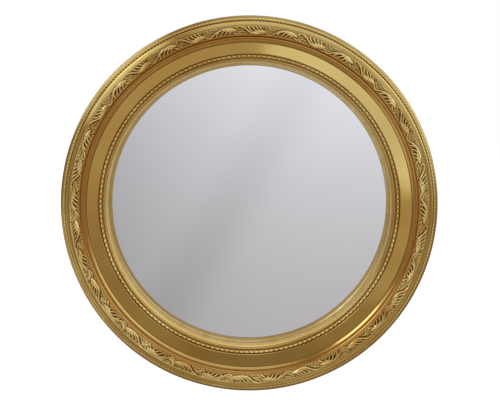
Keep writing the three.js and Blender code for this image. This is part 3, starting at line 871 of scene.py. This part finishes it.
def handled_metal():
    """Plated sheet or wire that has been handled: cloudy plating, fine scratches and grime."""
    inputs = {"Where": "Vector", "Plate": "Color", "Dull": "Color"}
    outputs = {"Color": "Color", "Roughness": "Float", "Height": "Float"}
    group, given, result = effect_group("handled_metal", inputs, outputs)
    where = given.outputs["Where"]
    cloud = noise(group, where, 130, 4, 0.6)
    grime = between(group, noise(group, where, 420, 4, 0.6), 0.52, 0.72)
    scratch = streaks(group, where, (120, 120, 3500), 2, turn=(0, 0.5, 0))
    dull = calc(group, "MULTIPLY_ADD", grime, 0.45, calc(group, "MULTIPLY", cloud, 0.4), clamp=True)
    colour = blended(group, dull, given.outputs["Plate"], given.outputs["Dull"])
    rough = calc(group, "MULTIPLY_ADD", cloud, 0.25, 0.16)
    rough = calc(group, "MULTIPLY_ADD", grime, 0.15, rough)
    height = calc(group, "MULTIPLY_ADD", scratch, 0.6, cloud)
    feed(group, result, {"Color": colour, "Roughness": rough, "Height": height})
    return group


HANDLED = handled_metal()


def plated(name, bright, dull):
    """A plated metal in its two tones."""
    made, tree, shader, where = material(name)
    wear = put(tree, "ShaderNodeGroup", {"node_tree": HANDLED}, Where=where, Plate=bright, Dull=dull)
    feed(tree, shader, {"Base Color": wear.outputs["Color"], "Roughness": wear.outputs["Roughness"],
                        "Metallic": 1.0})
    bumped(tree, shader, wear.outputs["Height"], 0.2, 0.00008)
    return made


def sheet_mesh(name, outline, holes):
    """A stamped plate lying on the frame's back, from a counter-clockwise outline and round
    holes as [x, z] in mm, with its edges eased."""
    work = bmesh.new()
    low, high = PLATE_DEPTHS
    edges = []
    for loop in [outline] + holes:
        corners = [work.verts.new((x * MM, -low * MM, z * MM)) for x, z in loop]
        edges += [work.edges.new((a, b)) for a, b in zip(corners, corners[1:] + corners[:1])]
    bmesh.ops.triangle_fill(work, edges=edges, use_beauty=True)
    bmesh.ops.dissolve_limit(work, angle_limit=0.01, verts=work.verts, edges=work.edges)
    raised = bmesh.ops.extrude_face_region(work, geom=work.faces[:])
    moved = [item for item in raised["geom"] if isinstance(item, bmesh.types.BMVert)]
    bmesh.ops.translate(work, verts=moved, vec=(0, (low - high) * MM, 0))
    bmesh.ops.recalc_face_normals(work, faces=work.faces)
    sharp = [edge for edge in work.edges if edge.calc_face_angle(0) > 1.0]
    bmesh.ops.bevel(work, geom=sharp, offset=PLATE_EASE * MM, segments=2, affect="EDGES", profile=0.6)
    mesh = bpy.data.meshes.new(name)
    work.to_mesh(mesh)
    work.free()
    smooth_faces(mesh, 35)
    return mesh


def circle_points(x, z, radius, start=0.0, end=360.0, count=24):
    """Points on an arc, in the plane of the back; a full circle doesn't repeat its first point."""
    closed = abs(end - start) >= 360
    angles = np.radians(np.linspace(start, end, count + 1))[:count if closed else None]
    return [(x + radius * math.cos(a), z + radius * math.sin(a)) for a in angles]


def turn_button(bearing):
    """One flat keeper, pointing in over the board from its pivot."""
    far = BUTTON_REACH - BUTTON_HALF_WIDTH
    outline = circle_points(0, 0, BUTTON_HALF_WIDTH, 0, 180, 14)
    outline += circle_points(0, -far, BUTTON_HALF_WIDTH, 180, 360, 14)
    mesh = sheet_mesh("turn_button", outline, [circle_points(0, 0, HOLE_RADIUS, count=20)])
    mesh.transform(Matrix.Translation((0, 0, BUTTON_RADIUS * MM)))
    mesh.transform(Matrix.Rotation(math.radians(bearing), 4, "Y"))
    return mesh


zinc = plated("plated_steel", ZINC, ZINC_DULL)
for number in range(8):
    node = f"turn_button_{number + 1}"
    keeper = piece(f"keeper_{number + 1}", turn_button(number * 45), zinc)
    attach(keeper, node)
    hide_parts(node)


# Screws: zinc plated pan head wood screws with a cross recess. They pin the turn buttons, the
# hanger straps and the bumpers to the back of the frame.

HEAD_RADIUS = 3.4
HEAD_HEIGHT = 2.0
HEAD_SECTION = [(0, 1), (0.22, 1), (0.42, 0.985), (0.6, 0.95), (0.76, 0.87), (0.88, 0.72), (0.96, 0.5),
                (1, 0.24), (1, 0)]  # shares of the head's radius and height
SHANK_SECTION = [(1.5, 0), (1.35, -4), (0.9, -9), (0.1, -11.9)]
CROSS_HALF_WIDTH = 0.42
CROSS_REACH = 0.6  # share of the head's radius
CROSS_DEPTH = 1.15
SCREW_STEPS = 32


def joined(name, meshes, mirrored=False):
    """One mesh from several, or its mirror image on the left side, facing outwards."""
    work = bmesh.new()
    for mesh in meshes:
        work.from_mesh(mesh)
    if mirrored:
        for corner in work.verts:
            corner.co.x = -corner.co.x
    bmesh.ops.recalc_face_normals(work, faces=work.faces)
    made = bpy.data.meshes.new(name)
    work.to_mesh(made)
    work.free()
    return made


def pan_screw():
    """A screw standing on the origin plane, its head towards the wall, with a cross cut in it."""
    places, faces, starts = [], [], []
    section = [(share * HEAD_RADIUS, height * HEAD_HEIGHT) for share, height in HEAD_SECTION]
    for radius, height in section + SHANK_SECTION:
        starts.append(len(places))
        in_reach = height > 0 and radius < CROSS_REACH * HEAD_RADIUS
        for k in range(SCREW_STEPS if radius else 1):
            angle = 2 * math.pi * k / SCREW_STEPS
            x, z = radius * math.cos(angle), radius * math.sin(angle)
            cut = in_reach and min(abs(x), abs(z)) < CROSS_HALF_WIDTH
            places.append((x, height - cut * CROSS_DEPTH * (1 - radius / HEAD_RADIUS), z))
    for a, b in zip(starts, starts[1:]):
        for k in range(SCREW_STEPS):
            after = (k + 1) % SCREW_STEPS
            faces.append((a + k, a + after, b + after, b + k) if a else (0, b + after, b + k))
    faces.append(tuple(range(starts[-1], len(places))))
    mesh = bpy.data.meshes.new("pan_screw")
    mesh.from_pydata((np.array(places) * MM).tolist(), [], faces)
    mesh = joined("pan_screw", [mesh])
    smooth_faces(mesh, 40)
    return mesh


def screw_setting():
    """Sets a screw on each point of a mesh, each turned its own way."""
    sockets = {"Geometry": "Geometry", "Part": "Object", "Seed": "Int", "Finish": "Material"}
    tree, given, result = geometry_tree("screw_setting", sockets)
    chance = put(tree, "FunctionNodeRandomValue", {"data_type": "FLOAT"}, input2=0.0, input3=math.pi / 2,
                 Seed=given.outputs["Seed"])
    set_screws = copies_at(tree, given, given.outputs["Geometry"], chance.outputs[1])
    return finished(tree, given, result, set_screws)


def screw_seats(nodes):
    """A point under the head of each screw of the frame."""
    boxes = [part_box(node) for node in sorted(nodes)]
    seats = bpy.data.meshes.new("screw_seats")
    seats.from_pydata([((low.x + high.x) / 2, high.y - HEAD_HEIGHT * MM, (low.z + high.z) / 2)
                       for low, high in boxes], [], [])
    return seats


SCREW_NODES = [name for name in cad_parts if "_screw_" in name]
screws = piece("screws", baked("screws", screw_setting(), screw_seats(SCREW_NODES), pan_screw(),
                               {"Seed": 4, "Finish": zinc}))
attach(screws, "mirror")
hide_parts(*SCREW_NODES)


# Hanger straps: brass plated steel, 13 mm wide, a third of the way down each side. The strap's
# inner end is rolled into an eye, and two screws hold it to the frame.

STRAP_WIDTH = 13.0
STRAP_LENGTH = 36.0
STRAP_PIVOT = 232.0
STRAP_HEIGHT = 105.0
EYE_DEPTH = 3.1
EYE_RADII = (1.75, 2.6)  # inside and outside
EYE_EASE = 0.15
STRAP_SCREWS = (9.0, 28.0)  # from the pivot
BRASS = (0.62, 0.43, 0.19, 1)
BRASS_DULL = (0.27, 0.17, 0.07, 1)


def strap_plate():
    """The flat of the right strap, from the eye to the round outer end."""
    half = STRAP_WIDTH / 2
    outline = [(STRAP_PIVOT + 0.6, STRAP_HEIGHT - half)]
    outline += [(STRAP_PIVOT + x, STRAP_HEIGHT + z)
                for x, z in circle_points(STRAP_LENGTH - half, 0, half, -90, 90, 20)]
    outline.append((STRAP_PIVOT + 0.6, STRAP_HEIGHT + half))
    holes = [circle_points(STRAP_PIVOT + x, STRAP_HEIGHT, HOLE_RADIUS, count=20) for x in STRAP_SCREWS]
    return sheet_mesh("strap", outline, holes)


def strap_eye():
    """The rolled eye: a tube about the ring's pin, with eased ends."""
    inner, outer = EYE_RADII
    half, ease = STRAP_WIDTH / 2, EYE_EASE
    section = np.array([(inner, ease - half), (inner + ease, -half), (outer - ease, -half),
                        (outer, ease - half), (outer, half - ease), (outer - ease, half),
                        (inner + ease, half), (inner, half - ease)])
    angle = np.linspace(0, 2 * math.pi, 40, endpoint=False)[:, None]
    radius, along = section.T
    mesh = ring_of_rows("eye", np.stack([STRAP_PIVOT + radius * np.cos(angle),
                                         radius * np.sin(angle) - EYE_DEPTH,
                                         STRAP_HEIGHT + along + 0 * angle], 2))
    smooth_faces(mesh, 40)
    return mesh


brass = plated("brass_plate", BRASS, BRASS_DULL)
SIDES = {"right": False, "left": True}  # the left ones are mirrored
for side, mirrored in SIDES.items():
    name = side + "_strap"
    strap = piece(name, joined(name, [strap_plate(), strap_eye()], mirrored), brass)
    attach(strap, "mirror")
    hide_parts(side + "_hanger_strap")


# D rings: 2.6 mm wire bent to a D and butted at the straight side, which turns in the strap's
# eye. The mirror hangs by them.

RING_WIRE = 1.3  # half the wire's thickness
RING_REACH = 15.0
RING_HALF_WIDTH = 10.3


def ring_mesh():
    """The right ring at rest, its bow towards the middle of the mirror."""
    bow = RING_REACH - RING_HALF_WIDTH
    path = [(0, z) for z in np.linspace(-0.72, 0.72, 9) * RING_HALF_WIDTH]
    path += [(0.25, RING_HALF_WIDTH * 0.86), (0.9, RING_HALF_WIDTH * 0.945), (2.2, RING_HALF_WIDTH * 0.99)]
    for k in range(25):
        angle = math.pi / 2 - math.pi * k / 24
        path.append((bow + RING_HALF_WIDTH * math.cos(angle), RING_HALF_WIDTH * math.sin(angle)))
    path += [(x, -z) for x, z in path[11:8:-1]]
    run = np.array(path)
    ahead = np.roll(run, -1, 0) - np.roll(run, 1, 0)
    ahead /= np.linalg.norm(ahead, axis=1)[:, None]
    x, z = run.T[..., None]
    dx, dz = ahead.T[..., None]
    turn = np.linspace(0, 2 * math.pi, 16, endpoint=False)
    off, rise = RING_WIRE * np.cos(turn), RING_WIRE * np.sin(turn)
    return ring_of_rows("ring", np.stack([STRAP_PIVOT - x - off * dz, rise - EYE_DEPTH + 0 * x,
                                          STRAP_HEIGHT + z - off * dx], 2))


for side, mirrored in SIDES.items():
    ring = joined(side + "_ring", [ring_mesh()], mirrored)
    smooth_faces(ring)
    ring = piece(side + "_ring", ring, brass)
    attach(ring, side + "_hanger_ring")
    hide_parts(side + "_hanger_ring")


# Wall bumpers: two moulded black rubber feet screwed to the back near the bottom. They stand off
# as far as the hangers do, so the mirror hangs plumb.

BUMPER_CIRCLE = 278.0  # distance of the bumpers from the mirror's axis
BUMPER_BEARINGS = (157.5, 202.5)
BUMPER_SECTION = [(1.9, 5.7, 0.1), (8.5, 5.7, 0.2), (8.2, 0.0, 1.4), (4.4, 0.0, 0.4), (4.4, 2.8, 0.3),
                  (1.9, 2.8, 0.2)]  # as the frame's corners
RUBBER = (0.018, 0.017, 0.016, 1)
RUBBER_DUSTY = (0.12, 0.11, 0.1, 1)


def moulded_rubber():
    """Rubber with a fine moulded tooth and dust."""
    made, tree, shader, where = material("rubber")
    dust = between(tree, noise(tree, where, 160, 4, 0.6), 0.5, 0.75)
    colour = blended(tree, calc(tree, "MULTIPLY", dust, 0.4), RUBBER, RUBBER_DUSTY)
    feed(tree, shader, {"Base Color": colour, "Roughness": calc(tree, "MULTIPLY_ADD", dust, 0.25, 0.5)})
    bumped(tree, shader, noise(tree, where, 1800, 2), 0.4, 0.00008)
    return made


rubber = moulded_rubber()
bumper_outline = rounded_outline(BUMPER_SECTION[::-1], lambda at: 3.0)
for number, bearing in enumerate(BUMPER_BEARINGS, 1):
    mesh = joined("bumper", [turned_mesh("bumper", bumper_outline, 48)])
    mesh.transform(Matrix.Translation((0, 0, BUMPER_CIRCLE * MM)))
    mesh.transform(Matrix.Rotation(math.radians(bearing), 4, "Y"))
    smooth_faces(mesh, 40)
    bumper = piece(f"bumper_{number}", mesh, rubber)
    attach(bumper, "mirror")
    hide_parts(f"wall_bumper_{number}")


# Floor and light: a white floor some way below the mirror, as it hangs free, and a studio of
# soft round lights about it.

FLOOR_HEIGHT = -0.45
FLOOR_REACH = 6.0


def pale_floor():
    """A white floor that stays white to the camera and keeps the shadow."""
    made, tree, shader, _ = material("pale_floor")
    ray = put(tree, "ShaderNodeLightPath").outputs["Is Camera Ray"]
    glow = calc(tree, "MULTIPLY", ray, 0.25)
    feed(tree, shader, {"Base Color": (0.9, 0.9, 0.9, 1), "Roughness": 0.9, "Specular IOR Level": 0.0,
                        "Emission Color": (1, 1, 1, 1), "Emission Strength": glow})
    return made


floor_mesh = bpy.data.meshes.new("floor")
floor_mesh.from_pydata([(x * FLOOR_REACH, y * FLOOR_REACH, FLOOR_HEIGHT)
                        for x, y in ((-1, -1), (1, -1), (1, 1), (-1, 1))], [], [(0, 1, 2, 3)])
floor = piece("floor", floor_mesh, pale_floor())
floor.visible_glossy = False


STUDIO_LEVEL = 0.31
STUDIO_LIGHTS = [  # where each round soft light stands, cosines of its outer and inner edge, strength
    ((0.1, 0.3, 0.95), 0.6, 0.95, 0.6),  # the ceiling
    ((0.1, -0.7, 0.7), 0.9, 0.97, 0.4),  # high in front
    ((-0.56, -0.71, 0.43), 0.955, 0.98, 0.55),  # the key light, at the front on the left
    ((-0.74, -0.2, 0.6), 0.9, 0.97, 1.0),  # high on the left
    ((0.9, 0.1, 0.3), 0.8, 0.97, 0.6),  # the right wall
    ((0.76, -0.34, 0.5), 0.83, 0.97, 0.65),  # high on the right
    ((0.64, 0.77, 0), 0.8, 0.94, 0.5),  # behind on the right
    ((-0.62, 0.62, -0.48), 0.85, 0.97, 0.3),  # low behind on the left
    ((-0.85, -0.15, -0.5), 0.88, 0.97, 0.4),  # low on the left
    ((-0.33, -0.82, -0.47), 0.943, 0.963, 0.40),  # the pale floor in front, on the left
    ((0.2, -0.8, -0.57), 0.8, 0.98, 0.15),  # and on the right
    ((-0.46, -0.87, -0.08), 0.96, 0.985, 0.12),  # beside the camera
    ((0, 1, 0), 0.8, 0.95, 0.6),  # the backdrop
    ((0, -0.96, 0.26), 0.97, 0.99, -0.06),  # a darker spot over the camera
    ((-0.62, -0.56, 0.55), 0.982, 0.992, 1.2),  # a small bright lamp over the key light
]
STUDIO_WARM = (1, 0.88, 0.70, 1)
STUDIO_COOL = (0.92, 1.06, 1.25, 1)
ROOM_BELOW = (1, 0.96, 0.96, 1)
ROOM_ABOVE = (1, 1, 1.03, 1)


def studio_world():
    """White to the camera. A dim warm studio with a white backdrop and soft white panels lights
    and mirrors in the gold. The mirror glass shows an even room that is lightest above."""
    world = bpy.data.worlds.new("studio")
    bpy.context.scene.world = world
    world.use_nodes = True
    tree = world.node_tree
    tree.nodes.clear()
    way = put(tree, "ShaderNodeTexCoord").outputs["Generated"]
    split = put(tree, "ShaderNodeSeparateXYZ", Vector=way)
    across, _, up = split.outputs

    def panel(direction, low, high, amount):
        """A round soft light, from the cosines of its outer and inner edge."""
        facing = put(tree, "ShaderNodeVectorMath", {"operation": "DOT_PRODUCT"}, input0=way,
                     input1=Vector(direction).normalized())
        return calc(tree, "MULTIPLY", between(tree, facing.outputs["Value"], low, high), amount)

    level = STUDIO_LEVEL
    for light in STUDIO_LIGHTS:
        level = calc(tree, "ADD", level, panel(*light))
    tint = blended(tree, between(tree, level, 0.3, 0.9), STUDIO_WARM, STUDIO_COOL)
    studio = put(tree, "ShaderNodeVectorMath", {"operation": "SCALE"}, input0=tint, Scale=level)

    streak = calc(tree, "ADD", calc(tree, "MULTIPLY", across, -0.866), calc(tree, "MULTIPLY", up, 0.5))
    streak = between(tree, calc(tree, "ABSOLUTE", streak), 0.2, 0.0)
    room = calc(tree, "MULTIPLY_ADD", across, 0.185, 0.634)
    for first, second, share in ((up, 1.0, 0.29), (across, up, 0.15), (up, up, 0.1),
                                 (across, across, -0.16), (streak, 1.0, -0.06)):
        room = calc(tree, "MULTIPLY_ADD", calc(tree, "MULTIPLY", first, second), share, room)
    room = calc(tree, "MINIMUM", calc(tree, "MAXIMUM", room, 0.35), 0.95)
    plain = calc(tree, "MULTIPLY_ADD", up, 0.2, 0.85)

    rays = put(tree, "ShaderNodeLightPath").outputs
    room_tint = blended(tree, between(tree, up, -0.9, 0.5), ROOM_BELOW, ROOM_ABOVE)
    room_light = put(tree, "ShaderNodeVectorMath", {"operation": "SCALE"}, input0=room_tint, Scale=room)
    colour = blended(tree, rays["Is Singular Ray"], studio.outputs[0], room_light.outputs[0])
    colour = blended(tree, rays["Is Diffuse Ray"], colour, plain)
    colour = blended(tree, rays["Is Camera Ray"], colour, (1, 1, 1, 1))
    background = put(tree, "ShaderNodeBackground", Color=colour, Strength=1.0)
    put(tree, "ShaderNodeOutputWorld", Surface=background.outputs[0])


studio_world()
bpy.context.scene.view_settings.view_transform = "Standard"


# Camera: a metre off and 15 cm above the mirror's middle. It tilts down very little, and the
# lens shift brings the mirror to the middle of the picture.

CAMERA_PLACE = (0.0, -1.0025, 0.15)
CAMERA_LENS = 44.1
CAMERA_SENSOR = 36
CAMERA_TILT = 2.05  # degrees downwards
CAMERA_SHIFT = (0.0015, -0.135)

camera_data = bpy.data.cameras.new("camera")
camera_data.lens = CAMERA_LENS
camera_data.sensor_width = CAMERA_SENSOR
camera_data.shift_x, camera_data.shift_y = CAMERA_SHIFT
camera = bpy.data.objects.new("camera", camera_data)
bpy.context.scene.collection.objects.link(camera)
camera.location = CAMERA_PLACE
camera.rotation_euler = (math.radians(90 - CAMERA_TILT), 0, 0)
bpy.context.scene.camera = camera
